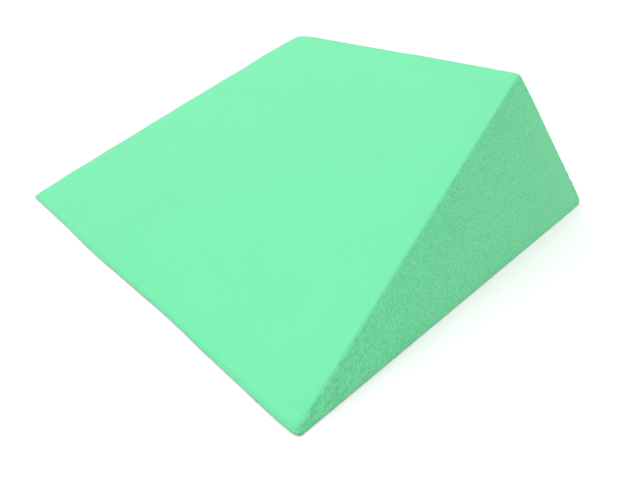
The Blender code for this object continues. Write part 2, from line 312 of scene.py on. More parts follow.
@dataclass(frozen=True)
class OpenCellFoam(Finish):
    """Cut foam: a field of burst cells, paler on the ribs with painted shade in the cell hollows, and
    yellowed a little in patches.
    """

    cell: float
    cut_depth: float = 0.0008

    def sockets(self, bench: Bench) -> dict[str, object]:
        """Height and shade follow the distance from each burst cell's middle, with saw marks along X."""
        cells = bench.cells(self.cell, 0.25)
        saw = bench.noise(0.004, 3.0, 0.6, bench.turned(bench.place, 0.0, (0.15, 1.0, 1.0)))
        age = bench.noise(0.09, 4.0, 0.6)
        # painted shade: darker towards each burst cell's middle, where the hollow is deepest
        shade = (cells * 0.8 + saw * 0.25 + age * 0.2 - 0.1).clamped()
        return {
            "Base Color": bench.mixed(shade, lighter(self.colour, 0.72), lighter(self.colour, 1.05)),
            "Roughness": 0.93 - age * 0.06,
            "Specular IOR Level": 0.15,
            "Normal": bench.bump(cells * 0.75 + saw * 0.25, self.cut_depth),
        }


@dataclass(frozen=True)
class TapeWeave(Finish):
    """Herringbone zip tape. Its yarns follow the tape, which lies along X on the leaning back wall."""

    lean: float
    yarn: float = 0.0009
    yarn_height: float = 0.00022

    def sockets(self, bench: Bench) -> dict[str, object]:
        """Ridges are sin(x ± 0.6 up), the sign changing with each rib up the tape."""
        place = bench.turned(bench.place, -self.lean)
        x, _, up = bench.axes(place)
        turn = math.pi / self.yarn
        rib = (up * turn * 0.32).sine()
        side = (rib * 8.0).clamped() * 2.0 - 1.0
        ridge = (x * turn + side * (up * turn * 0.6)).sine() * 0.5 + 0.5
        fuzz = bench.noise(0.0012, 3.0, 0.7, place)
        # painted shade: the colour is lighter on the yarn ridges and darker in the grooves between them
        shade = (ridge * 0.5 + fuzz * 0.35 + rib.size() * 0.15).clamped()
        return {
            "Base Color": bench.mixed(shade, lighter(self.colour, 0.70), lighter(self.colour, 1.06)),
            "Roughness": 0.86 - 0.12 * ridge,
            "Sheen Weight": 0.15,
            "Specular IOR Level": 0.25,
            "Normal": bench.bump(ridge * 0.7 + fuzz * 0.3, self.yarn_height),
        }


@dataclass(frozen=True)
class Filament(Finish):
    """Dyed nylon: satin coil wire, or with more twist a sewing thread."""

    rough: float
    twist: float = 0.0
    ply_height: float = 0.00008

    def sockets(self, bench: Bench) -> dict[str, object]:
        """Fine drawn streaks, and for a thread a slanting ply ridge sin(x + up)."""
        streak = bench.noise(0.0011, 3.0, 0.6)
        height = streak * 0.3
        if self.twist:
            x, _, up = bench.axes(bench.place)
            height = height + ((x + up * 0.8) * (math.tau / self.twist)).sine() * 0.35 + 0.35
        return {
            "Base Color": bench.mixed(streak, lighter(self.colour, 0.84), lighter(self.colour, 1.10)),
            "Roughness": self.rough + 0.14 * streak,
            "Specular IOR Level": 0.45,
            "Normal": bench.bump(height, self.ply_height),
        }


@dataclass(frozen=True)
class PlatedMetal(Finish):
    """Nickel plate on die-cast zinc: fine brushing along the zip, dull handling marks and tiny pits."""

    scratch_depth: float = 0.00003

    def sockets(self, bench: Bench) -> dict[str, object]:
        """Brushing is noise stretched twenty times along X."""
        brushed = bench.noise(0.00035, 2.0, 0.6, bench.turned(bench.place, 0.0, (0.05, 1.0, 1.0)))
        marks = bench.noise(0.0035, 4.0, 0.65)
        pits = bench.noise(0.0005, 2.0, 0.5)
        return {
            "Base Color": bench.mixed(marks, lighter(self.colour, 0.78), lighter(self.colour, 1.12)),
            "Metallic": 1.0,
            "Roughness": 0.20 + 0.16 * brushed + 0.14 * marks,
            "Normal": bench.bump(brushed * 0.6 + pits * 0.4, self.scratch_depth),
        }


@dataclass(frozen=True)
class StudioFloor(Finish):
    """Matt, nearly white studio floor."""

    paler: Colour = (0.975, 0.975, 0.975)

    def sockets(self, bench: Bench) -> dict[str, object]:
        """A very faint mottling keeps it from being one flat colour."""
        mottle = bench.noise(0.7, 3.0, 0.5)
        return {
            "Base Color": bench.mixed(mottle, self.colour, self.paler),
            "Roughness": 0.85 + 0.08 * mottle,
            "Specular IOR Level": 0.1,
        }


# ---- shape tools


@dataclass(frozen=True)
class Wall:
    """A flat outer face: the points p where normal · p = reach."""

    normal: Array
    reach: float

    @staticmethod
    def of(node: str, towards: Sequence[float]) -> Wall:
        """The outermost flat face of a CAD node that looks most nearly one way.

        Args:
            node: The CAD node.
            towards: The way that it looks, roughly.

        Returns:
            The face's plane.
        """
        mesh = NODES[node].data
        normals = read(mesh.polygons, "normal")
        normal = normals[np.argmax(normals @ np.array(towards))]
        return Wall(normal, float((read(mesh.vertices, "co") @ normal).max()))


def read(items: bpy.types.bpy_prop_collection, name: str) -> Array:
    """One vector property of many mesh items, one row each."""
    found = np.empty(len(items) * 3)
    items.foreach_get(name, found)
    return found.reshape(-1, 3)


def meet(*walls: Wall) -> Array:
    """The point where three walls meet."""
    return np.linalg.solve(np.stack([w.normal for w in walls]), [w.reach for w in walls])


def span(node: str, way: Array) -> tuple[float, float]:
    """How far a CAD node reaches back and forward along a direction."""
    along = read(NODES[node].data.vertices, "co") @ way
    return float(along.min()), float(along.max())


def smooth(low: float, high: float, value: Array) -> Array:
    """A soft step from 0 at low to 1 at high."""
    t = np.clip((value - low) / (high - low), 0, 1)
    return t * t * (3 - 2 * t)


def between(low: Array | float, high: Array | float, share: Array) -> Array:
    """What lies at a share of the way from low to high."""
    return low + (high - low) * share


def hump(away: Array, reach: float) -> Array:
    """A round bump exp(-(away / reach)²): 1 in its middle and 0.37 at its reach."""
    return np.exp(-((away / reach) ** 2))


def fading(away: Array, reach: float) -> Array:
    """What fades with distance as exp(-|away| / reach)."""
    return np.exp(-np.abs(away) / reach)


def unit(vectors: Array) -> Array:
    """Vectors brought to a length of 1."""
    return vectors / np.linalg.norm(vectors, axis=-1, keepdims=True)


def squared_off(value: Array, power: float) -> Array:
    """A number's size raised to a power, with its sign kept."""
    return np.sign(value) * np.abs(value) ** power


def stations(length: float, finest: float, coarsest: float, growth: float = 0.14) -> Array:
    """Places from 0 to 1 whose spacing starts fine at both ends and widens towards the middle.

    The spacing at distance d from the nearer end is finest + growth · d, and never over coarsest.

    Args:
        length: The length that they cover.
        finest: The spacing at the ends.
        coarsest: The widest spacing.
        growth: How fast the spacing widens.

    Returns:
        The places, as shares of the length.
    """
    place = np.linspace(0, length, 6001)
    spacing = np.minimum(finest + growth * np.minimum(place, length - place), coarsest)
    passed = np.concatenate([[0], np.cumsum((1 / spacing[1:] + 1 / spacing[:-1]) / 2 * np.diff(place))])
    count = max(2, math.ceil(passed[-1]))
    return np.interp(np.linspace(0, passed[-1], count + 1), passed, place) / length


def spline_rows(places: Array, count: int) -> Array:
    """Weights that read a smooth curve off evenly spaced samples.

    Each sample j has the cubic B-spline bump around j, and each row is scaled to add up to 1.

    Args:
        places: Where to read, from 0 to 1.
        count: How many gaps there are between samples.

    Returns:
        One row of weights for each place.
    """
    far = np.abs(places[:, None] * count - np.arange(count + 1))
    near = 2 / 3 - far**2 + far**3 / 2
    weights = np.where(far < 1, near, np.where(far < 2, (2 - far) ** 3 / 6, 0))
    return weights / weights.sum(axis=1, keepdims=True)


@dataclass(frozen=True)
class Ripple:
    """Seeded smooth waviness in space: the mean of sines that run in many directions."""

    seed: int
    shortest: float
    longest: float
    count: int = 28

    def __call__(self, points: Array) -> Array:
        """Waviness of about -1 to 1: sum of sin(k · p + phase) over 1.6 times the root of the count."""
        rng = np.random.default_rng(self.seed)
        ways = unit(rng.normal(size=(self.count, 3)))
        waves = ways * (math.tau / rng.uniform(self.shortest, self.longest, (self.count, 1)))
        phases = rng.uniform(0, math.tau, self.count)
        return np.sin(points @ waves.T + phases).sum(axis=-1) / (1.6 * math.sqrt(self.count))


def grid_faces(rows: int, columns: int, round_columns: bool = False) -> Array:
    """The four corners of each face of a grid of points, numbered row by row.

    Args:
        rows: Rows of points.
        columns: Points in each row.
        round_columns: Whether each row's end joins its start.

    Returns:
        One row of four point numbers for each face.
    """
    index = np.arange(rows * columns).reshape(rows, columns)
    if round_columns:
        index = np.hstack([index, index[:, :1]])
    corners = (index[:-1, :-1], index[:-1, 1:], index[1:, 1:], index[1:, :-1])
    return np.stack([corner.ravel() for corner in corners], axis=1)


def inside_out(points: Array, out: Array) -> bool:
    """Whether the faces of a grid, numbered row by row, look against the ways out at its points."""
    row, column = points.shape[0] // 2, points.shape[1] // 2
    here = points[row, column]
    normal = np.cross(points[row, column + 1] - here, points[row + 1, column] - here)
    return float(normal @ out[row, column]) < 0


def new_piece(name: str, points: Array, faces: Array, crisp: float = 60.0) -> Piece:
    """Makes a mesh object at the origin, smooth apart from its crisp edges.

    Args:
        name: The piece's name.
        points: Its points.
        faces: The point numbers of each face.
        crisp: The angle in degrees past which an edge is crisp.

    Returns:
        The piece.
    """
    mesh = bpy.data.meshes.new(name)
    mesh.from_pydata(points.reshape(-1, 3).tolist(), [], faces.tolist())
    mesh.validate()
    mesh.shade_smooth()
    mesh.set_sharp_from_angle(angle=math.radians(crisp))
    piece = bpy.data.objects.new(name, mesh)
    bpy.context.scene.collection.objects.link(piece)
    return piece


def shell(name: str, outer: Array, inner: Array) -> Piece:
    """A closed piece of cloth: an outer grid, an inner grid behind it, and a rim that joins them.

    Args:
        name: The piece's name.
        outer: Points of the outer face, in rows.
        inner: Points of the inner face, in the same rows.

    Returns:
        The piece, with its faces outwards.
    """
    if inside_out(outer, outer - inner):
        outer, inner = outer[:, ::-1], inner[:, ::-1]
    rows, columns = outer.shape[:2]
    front = grid_faces(rows, columns)
    index = np.arange(rows * columns).reshape(rows, columns)
    rim = np.concatenate([index[0, :-1], index[:-1, -1], index[-1, :0:-1], index[:0:-1, 0]])
    after, behind = np.roll(rim, -1), rows * columns
    edge = np.stack([after, rim, rim + behind, after + behind], axis=1)
    faces = np.concatenate([front, front[:, ::-1] + behind, edge])
    return new_piece(name, np.concatenate([outer.reshape(-1, 3), inner.reshape(-1, 3)]), faces)


def face_out(piece: Piece, close: bool = False) -> None:
    """Turns a mesh's faces outwards, and first fills its open rings if it is to be closed."""
    work = bmesh.new()
    work.from_mesh(piece.data)
    if close:
        bmesh.ops.holes_fill(work, edges=[edge for edge in work.edges if edge.is_boundary], sides=0)
    bmesh.ops.recalc_face_normals(work, faces=work.faces)
    work.to_mesh(piece.data)
    work.free()


def report(piece: Piece, slot: str, stands_for: Sequence[str] = (), body: str = "mat") -> Piece:
    """Ties a finished piece to its body, hides the CAD nodes that it stands for, and logs it with them.

    Args:
        piece: The piece.
        slot: The record slot that its finish is for. Not used.
        stands_for: The CAD nodes that it replaces.
        body: The body that it rides on.

    Returns:
        The same piece.
    """
    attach(piece, body)
    if stands_for:
        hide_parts(*stands_for)
    size = len(piece.data.polygons)
    LOG.info("%s: %d faces, on %s, stands for %s", piece.name, size, body, list(stands_for))
    return piece


def rings(path: Array, girth: Array, u: Array, v: Array, sides: int) -> Array:
    """Rings of points round a path, girth · (cos a · u + sin a · v) about each of its points.

    Args:
        path: Points along the middle.
        girth: The radius at each.
        u: A direction square to the path at each.
        v: The direction square to both.
        sides: Points in each ring.

    Returns:
        The points, ring by ring.
    """
    turn = np.linspace(0, math.tau, sides, endpoint=False)
    ring = np.cos(turn)[:, None] * u[..., None, :] + np.sin(turn)[:, None] * v[..., None, :]
    return path[..., None, :] + girth[..., None, None] * ring


# ---- the mat's form


class Side(Enum):
    """The outer walls, each by the CAD node that it is on and the way that it looks."""

    SLOPE = ("incline_panel", (0.0, -0.36, 0.93))
    TOE = ("incline_panel", (0.0, -1.0, 0.0))
    BASE = ("base_panel", (0.0, 0.0, -1.0))
    LEFT = ("left_side_panel", (-0.9, 0.0, 0.44))
    RIGHT = ("right_side_panel", (0.9, 0.0, 0.44))
    BACK = ("back_panel_lower", (0.0, 0.9, 0.44))


@dataclass
class MatForm:
    """The mat's outer form: six flat walls, rounded where they meet as cloth rounds over foam."""

    edge_softness: float = 0.0015
    foot_softness: float = 0.0011
    foot_height: tuple[float, float] = (0.012, 0.10)
    toe_softness: float = 0.0012
    lip_softness: float = 0.0034
    lip_height: tuple[float, float] = (0.0015, 0.0072)
    toe_depth: tuple[float, float] = (0.10, 0.02)
    back_corner_softness: float = 0.0042
    worn_corner_softness: float = 0.0010
    heel_softness: float = 0.0020
    nose: float = 0.0034
    nose_reach: float = 0.034
    toe_forward: float = 0.0012
    toe_bulge: float = 0.0029
    toe_bulge_at: float = -0.136
    toe_hollow: float = 0.0026
    toe_hollow_at: float = 0.168
    toe_bow_reach: float = 0.105
    toe_fade: float = 0.012
    tuck: float = 0.0026
    tuck_height: float = 0.0034
    tuck_fade: float = 0.010
    fullness: float = 0.0008
    seam_depth: float = 0.00040
    seam_width: float = 0.0012
    long_wave: float = 0.00055
    gathers: float = 0.00022
    toe_wave: float = 0.00060
    puckers: float = 0.00075
    walls: dict[Side, Wall] = field(default_factory=dict)

    def __post_init__(self) -> None:
        """Reads the walls off the CAD nodes. All but the back and base stand proud, filled by the foam."""
        for side in Side:
            wall = Wall.of(*side.value)
            proud = 0.0 if side in (Side.BASE, Side.BACK) else self.fullness
            self.walls[side] = Wall(wall.normal, wall.reach + proud)
        self.normals = np.stack([wall.normal for wall in self.walls.values()])
        self.reaches = np.array([wall.reach for wall in self.walls.values()])

    def corner(self, *sides: Side) -> Array:
        """The sharp corner where three walls would meet."""
        return meet(*(self.walls[side] for side in sides))

    def gaps(self, points: Array) -> Array:
        """Each point's signed distance outside each wall, in the order of Side."""
        return points @ self.normals.T - self.reaches

    def gap(self, points: Array, side: Side) -> Array:
        """Each point's signed distance outside one wall."""
        return self.gaps(points)[..., list(Side).index(side)]

    def softness(self, flat: Array) -> Array:
        """How soft the edges are near each point: k in the rounding formula.

        It is small at the foot and the toe, and larger higher up and round some corners.

        Args:
            flat: The points.

        Returns:
            k at each.
        """
        toe = self.walls[Side.TOE]
        height, behind_toe = flat[..., 2], flat[..., 1] - toe.normal[1] * toe.reach
        soft = between(self.foot_softness, self.edge_softness, smooth(*self.foot_height, height))
        lip = between(self.toe_softness, self.lip_softness, smooth(*self.lip_height, height))
        soft = between(soft, lip, smooth(*self.toe_depth, behind_toe))
        extras = (
            ((Side.SLOPE, Side.LEFT, Side.BACK), self.back_corner_softness, 0.042),
            ((Side.SLOPE, Side.RIGHT, Side.BACK), self.worn_corner_softness, 0.030),
            ((Side.BASE, Side.RIGHT, Side.BACK), self.heel_softness, 0.030),
            ((Side.BASE, Side.LEFT, Side.BACK), self.heel_softness, 0.030),
        )
        for sides, extra, reach in extras:
            soft = soft + extra * hump(np.linalg.norm(flat - self.corner(*sides), axis=-1), reach)
        return soft

    def level(self, points: Array, soft: Array) -> tuple[Array, Array]:
        """The rounded form's level at points, and each wall's share in it.

        The level is k · log Σ exp((n · p - reach) / k) over the walls: 0 on the rounded form, less inside.

        Args:
            points: The points.
            soft: k at each point.

        Returns:
            The levels, and the walls' shares, which add up to 1.
        """
        gap = self.gaps(points) / soft[..., None]
        top = gap.max(axis=-1, keepdims=True)
        share = np.exp(gap - top)
        total = share.sum(axis=-1, keepdims=True)
        return soft * (top + np.log(total))[..., 0], share / total

    def rounded(self, flat: Array) -> tuple[Array, Array]:
        """Where points of the sharp form land on the rounded form, and the way out there.

        The way out w is the weighted least-squares answer to n · w = 1 over the walls, so a step along it
        is as far from every wall that is near, and the two sides of an edge land on the same points.

        Args:
            flat: Points on the sharp form.

        Returns:
            The points on the rounded form and the ways out.
        """
        soft = self.softness(flat)
        _, share = self.level(flat, soft)
        spread = np.einsum("...i,ij,ik->...jk", share, self.normals, self.normals) + np.eye(3) * 0.015
        out = np.linalg.solve(spread, (share @ self.normals)[..., None])[..., 0]
        points = flat
        for _ in range(7):
            value, share = self.level(points, soft)
            points = points - (value / ((share @ self.normals) * out).sum(axis=-1))[..., None] * out
        return self.drawn_back(points), out

    def within(self, points: Array, clearance: float) -> Array:
        """Points pulled in, where they need it, until they are this far inside the rounded form."""
        for _ in range(6):
            value, share = self.level(points, self.softness(points))
            way = share @ self.normals
            tuck = self.tuck * fading(self.gap(points, Side.TOE), self.tuck_fade)
            over = np.maximum(value + clearance + tuck, 0) / (way * way).sum(axis=-1)
            points = points - over[..., None] * way
        return self.drawn_back(points)

    def drawn_back(self, points: Array) -> Array:
        """Points near the toe moved along Y, by less the farther e they are behind it, as exp(-e / fade).

        The toe's edge stands forward a little, with a long bulge left of its middle and a long hollow right
        of it. Its right-hand end, which is worn, is drawn back by nose · (1 - d / reach)² at a distance d
        from the side wall.

        Args:
            points: The points.

        Returns:
            Where they move to.
        """
        share = points[..., 0] / (2 * self.corner(Side.TOE, Side.BASE, Side.RIGHT)[0])
        worn = np.clip(1 + self.gap(points, Side.RIGHT) / self.nose_reach, 0, 1) ** 2
        bulge = self.toe_bulge * hump(share - self.toe_bulge_at, self.toe_bow_reach)
        hollow = self.toe_hollow * hump(share - self.toe_hollow_at, self.toe_bow_reach)
        back = self.nose * worn + hollow - bulge - self.toe_forward
        back = back * fading(self.gap(points, Side.TOE), self.toe_fade)
        return points + back[..., None] * np.array([0.0, 1.0, 0.0])

    def seam_distance(self, flat: Array) -> Array:
        """Distance from the nearest sewn edge: the least, over pairs of walls, of the farther of the two.

        The slope and the toe are one folded panel, so the edge between them isn't sewn.

        Args:
            flat: Points on the sharp form.

        Returns:
            The distances.
        """
        gap = np.abs(self.gaps(flat))
        unsewn = ({Side.SLOPE, Side.TOE}, {Side.LEFT, Side.RIGHT}, {Side.SLOPE, Side.BASE})
        pairs = [(i, j) for (i, a), (j, b) in combinations(enumerate(Side), 2) if {a, b} not in unsewn]
        return np.min([np.maximum(gap[..., i], gap[..., j]) for i, j in pairs], axis=0)

    def relief(self, flat: Array) -> Array:
        """How far cloth stands out of the rounded form: dips, gathers along seams, puckers and a wavy toe.

        Each fades away from its edge, and all but the dips are ripples that stop above the floor.

        Args:
            flat: Points on the sharp form.

        Returns:
            The height at each.
        """
        seam = self.seam_distance(flat)
        from_toe = np.abs(self.gap(flat, Side.TOE))
        under = np.maximum(from_toe, np.abs(self.gap(flat, Side.BASE)))
        dip = -self.seam_depth * hump(seam, self.seam_width) - self.tuck * hump(under, self.tuck_height)
        long_wave = self.long_wave * fading(seam, 0.030) * Ripple(3, 0.06, 0.16)(flat)
        gathers = self.gathers * fading(seam, 0.010) * Ripple(5, 0.010, 0.026)(flat)
        toe_wave = self.toe_wave * fading(from_toe, 0.020) * Ripple(8, 0.05, 0.20)(flat)
        fronts = (self.corner(Side.TOE, Side.BASE, side) for side in (Side.LEFT, Side.RIGHT))
        near_front = sum(fading(np.linalg.norm(flat - front, axis=-1), 0.055) for front in fronts)
        puckers = self.puckers * near_front * Ripple(13, 0.009, 0.028)(flat)
        return dip + smooth(0.0005, 0.006, flat[..., 2]) * (long_wave + gathers + toe_wave + puckers)


# ---- the cover


@dataclass
class Hem:
    """The turned hem along one straight border of a back panel: two layers thick, and topstitched."""

    line: Wall
    width: float = 0.0095
    rise: float = 0.00070
    stitch_at: float = 0.0045
    groove_depth: float = 0.00030
    groove_width: float = 0.0009
    pucker: float = 0.00012

    def relief(self, flat: Array) -> Array:
        """Out by the rise over the hem's width, with a groove under the stitches."""
        away = self.line.reach - flat @ self.line.normal
        plateau = smooth(self.width + 0.0012, self.width - 0.0004, away) * smooth(-0.0004, 0.0016, away)
        groove = self.groove_depth * hump(away - self.stitch_at, self.groove_width)
        return self.rise * plateau - groove + Ripple(21, 0.008, 0.022)(flat) * self.pucker * plateau


@dataclass
class Panel:
    """One cloth panel, ruled between two border lines: s runs across to the second, t along them."""

    name: str
    form: MatForm
    first: Array
    second: Array
    node: str
    finish: Finish
    slot: str = "cover_cloth"
    thickness: float = 0.0009
    hem: Hem | None = None
    finest: float = 0.0009
    coarsest: float = 0.0075
    swell: Array | None = None
    swell_cap: float = 0.0026
    swell_edge: float = 0.006

    def flat(self, s: Array, t: Array) -> Array:
        """Sharp-form points (1 - s) · first(t) + s · second(t), one row for each t."""
        legs, borders = np.arange(len(self.first)), (self.first, self.second)
        ends = [np.stack([np.interp(t, legs, line[:, k]) for k in range(3)], axis=1) for line in borders]
        return ends[0][:, None] * (1 - s)[None, :, None] + ends[1][:, None] * s[None, :, None]

    def legs(self) -> Array:
        """The length of each leg of the panel, halfway between its two border lines."""
        return np.linalg.norm(np.diff((self.first + self.second) / 2, axis=0), axis=1)

    def widths(self) -> Array:
        """The panel's width at each corner of its border lines."""
        return np.linalg.norm(self.second - self.first, axis=1)

    def across(self) -> float:
        """The panel's greatest width."""
        return float(self.widths().max())

    def grid(self) -> tuple[Array, Array]:
        """Where the panel's columns and rows of points stand, close together at its borders."""
        rows = [
            leg + stations(length, min(self.finest, length / 9), self.coarsest)
            for leg, length in enumerate(self.legs())
        ]
        columns = stations(self.across(), self.finest, self.coarsest)
        return columns, np.unique(np.round(np.concatenate(rows), 12))

    def lie_of(self, s: Array, t: Array) -> tuple[Array, Array]:
        """How the panel lies: the rounded form, raised by its relief, its hem and its swell.

        Args:
            s: Places across.
            t: Places along.

        Returns:
            The panel's outer points and the way out at each, one row for each t.
        """
        flat = self.flat(s, t)
        points, out = self.form.rounded(flat)
        lift = self.form.relief(flat)
        if self.hem:
            lift = lift + self.hem.relief(flat)
        if self.swell is not None:
            down, over = (count - 1 for count in self.swell.shape)
            last_leg = np.clip(t - (len(self.first) - 2), 0, 1)
            swell = spline_rows(last_leg, down) @ self.swell @ spline_rows(s, over).T
            lift = lift + swell * (1 - hump(self.form.seam_distance(flat), self.swell_edge))
        return points + lift[..., None] * out, out

    def build(self) -> Piece:
        """Makes the panel as a closed sheet, dresses it and ties it to the mat."""
        outer, out = self.lie_of(*self.grid())
        piece = shell(self.name, outer, outer - self.thickness * out)
        self.finish.dress(piece)
        return report(piece, self.slot, [self.node])

    def declare(self, piece: Piece, rests_on: Sequence[str]) -> None:
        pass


@dataclass
class Cover:
    """The fitted cover: eight sewn panels, swelled by the foam that fills them."""

    form: MatForm
    # painted light: the incline's finish is a lighter copy of the walls' cloth
    lit_smooth_mint: Finish
    mint: Finish
    grip: Finish
    cell: float = 0.014
    pressure: float = 4.0
    frames: int = 20
    panels: dict[str, Panel] = field(default_factory=dict)

    def __post_init__(self) -> None:
        """Finds the borders of the zip's slot and lays out the panels between the form's corners."""
        slope, toe, base, left, right, back = Side
        at, back_wall, mint = self.form.corner, self.form.walls[back], {"finish": self.mint}
        self.up = unit(np.cross(back_wall.normal, -ALONG))
        slot_top = Wall(-self.up, -span("back_panel_upper", self.up)[0])
        slot_foot = Wall(self.up, span("back_panel_lower", self.up)[1])

        def on_back(wall: Wall) -> list[Array]:
            """The points on the back where a wall crosses the slot's foot and its top."""
            return [meet(back_wall, wall, line) for line in (slot_foot, slot_top)]

        edges = {side: on_back(self.form.walls[side]) for side in (left, right)}
        fronts = [[at(toe, base, side), at(toe, slope, side), at(slope, back, side)] for side in edges]
        self.add("incline_cover", "incline_panel", fronts, finish=self.lit_smooth_mint)
        for side in edges:
            word, away = side.name.lower(), ALONG if side is right else -ALONG
            foot = [at(toe, base, side), at(base, back, side)]
            head = [at(toe, slope, side), at(slope, back, side)]
            self.add(f"{word}_side_cover", f"{word}_side_panel", (foot, head), **mint)
            slot_end = Wall(away, -span(f"zip_end_tab_{word}", -away)[1])
            hem = Hem(Wall(-away, -slot_end.reach), width=0.007, stitch_at=0.0035)
            made = mint | {"hem": hem, "coarsest": 0.002}
            borders = (on_back(slot_end), edges[side])
            self.add(f"zip_end_tab_cover_{word}", f"zip_end_tab_{word}", borders, **made)
        upper = [[edges[side][1], at(slope, back, side)] for side in edges]
        lower = [[at(base, back, side), edges[side][0]] for side in edges]
        under = [[at(toe, base, side), at(base, back, side)] for side in edges]
        self.add("back_cover_upper", "back_panel_upper", upper, hem=Hem(slot_top), **mint)
        self.add("back_cover_lower", "back_panel_lower", lower, hem=Hem(slot_foot), **mint)
        self.add("base_cover", "base_panel", under, finish=self.grip, slot="base_cloth")

    def add(self, name: str, node: str, borders: Sequence[Sequence[Array]], **more: object) -> None:
        """Adds a panel between two border lines."""
        first, second = (np.array(border) for border in borders)
        self.panels[name] = Panel(name, self.form, first, second, node, **more)

    def swell(self) -> None:
        """Presses the panels out from inside with Blender's Cloth while their seams are held.

        Each panel is a coarse even grid. What it moved by, held down to cap · tanh(move / cap), becomes its
        swell.
        """
        soft = [panel for name, panel in self.panels.items() if "tab" not in name and name != "base_cover"]
        starts, outs, faces, held = [], [], [], []
        for panel in soft:
            down, over = (max(4, round(size / self.cell)) for size in (panel.legs()[-1], panel.across()))
            s, t = np.linspace(0, 1, over + 1), len(panel.first) - 2 + np.linspace(0, 1, down + 1)
            points, out = self.form.rounded(panel.flat(s, t))
            crown = (1 - (2 * s - 1) ** 4)[None] * (1 - (2 * (t - t[0]) - 1) ** 4)[:, None]
            panel.swell = crown * panel.swell_cap * 0.8
            corners = grid_faces(down + 1, over + 1)
            faces.append((corners[:, ::-1] if inside_out(points, out) else corners) + sum(map(len, starts)))
            border = np.ones((down + 1, over + 1))
            border[1:-1, 1:-1] = 0
            held.append(border.ravel())
            starts.append(points.reshape(-1, 3))
            outs.append(out.reshape(-1, 3))
        start = np.concatenate(starts)
        ended = self._press(start, np.concatenate(faces), np.concatenate(held))
        moved = ((ended - start) * np.concatenate(outs)).sum(axis=1)
        LOG.info("cloth moved by %.4f at most, %.4f on average", moved.max(), moved.mean())
        for panel, move in zip(soft, np.split(moved, np.cumsum([len(points) for points in starts])[:-1])):
            panel.swell = panel.swell_cap * np.tanh(move.reshape(panel.swell.shape) / panel.swell_cap)

    def _press(self, start: Array, faces: Array, held: Array) -> Array:
        """Runs the cloth and gives where its points end.

        Args:
            start: The points at rest.
            faces: The faces, which look outwards.
            held: 1 for each point on a seam, and 0 elsewhere.

        Returns:
            The points after the last frame.
        """
        trial = new_piece("cover_trial", start, faces)
        trial.vertex_groups.new(name="seams").add(np.flatnonzero(held).tolist(), 1.0, "REPLACE")
        firm = trial.vertex_groups.new(name="push")
        push = np.round(0.75 + 0.25 * Ripple(31, 0.12, 0.40)(start), 1)
        for level in np.unique(push):
            firm.add(np.flatnonzero(push == level).tolist(), float(np.clip(level, 0.3, 1)), "REPLACE")
        cloth = trial.modifiers.new("fitted", "CLOTH")
        cut = {"quality": 6, "mass": 0.3, "bending_stiffness": 4, "vertex_group_mass": "seams"}
        stretchy = {"tension_stiffness": 30, "compression_stiffness": 30, "shear_stiffness": 12}
        plump = {"use_pressure": True, "uniform_pressure_force": self.pressure}
        firmest = {"vertex_group_pressure": "push"}
        for name, setting in (cut | stretchy | plump | firmest).items():
            setattr(cloth.settings, name, setting)
        cloth.settings.effector_weights.gravity = 0
        cloth.point_cache.frame_start, cloth.point_cache.frame_end = 1, self.frames
        for number in range(1, self.frames + 1):
            bpy.context.scene.frame_set(number)
        graph = bpy.context.evaluated_depsgraph_get()
        ended = read(trial.evaluated_get(graph).data.vertices, "co")
        bpy.data.meshes.remove(trial.data)
        bpy.context.scene.frame_set(1)
        return ended

    def build(self, foams: Sequence[str]) -> None:
        self.swell()
        for panel in self.panels.values():
            panel.declare(panel.build(), foams)


# ---- the foam


